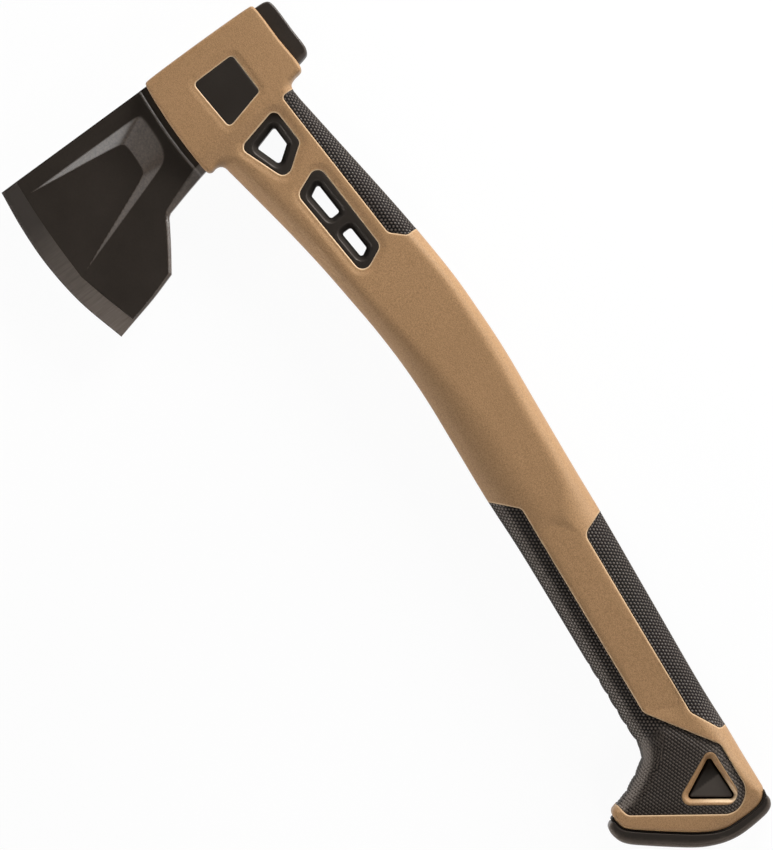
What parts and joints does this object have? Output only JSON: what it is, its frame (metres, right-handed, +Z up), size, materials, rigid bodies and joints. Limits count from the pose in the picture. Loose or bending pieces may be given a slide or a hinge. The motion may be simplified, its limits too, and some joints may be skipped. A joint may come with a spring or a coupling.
{
  "type": "hatchet",
  "caption": "Camp hatchet: black bearded steel head with hammer poll in a tan nylon handle with lashing openings, black rubber grips and a flared, capped butt.",
  "frame": {"origin": "middle of the bounding box in plan, on the surface that the hatchet lies on", "axes": "+X along the handle from the head to the butt, +Y from the cutting edge to the poll, +Z up, out of the left side"},
  "size_m": [0.4398, 0.155, 0.032],
  "materials": {
    "coated_steel": "black matt coating, lighter on the ground facets",
    "tan_nylon": "fine moulded grain",
    "black_rubber": "moulded scale texture on the grips, plain on the inserts",
    "black_nylon": "satin"
  },
  "bodies": {
    "root": {"axe_head": "coated_steel", "handle_body": "tan_nylon", "left_badge": "black_rubber", "right_badge": "black_rubber", "upper_lashing_liner": "black_rubber", "lower_lashing_liner": "black_rubber", "neck_pad": "black_rubber", "front_grip": "black_rubber", "rear_grip": "black_rubber", "butt_plug": "black_nylon", "butt_cap": "black_rubber"}
  },
  "joints": []
}
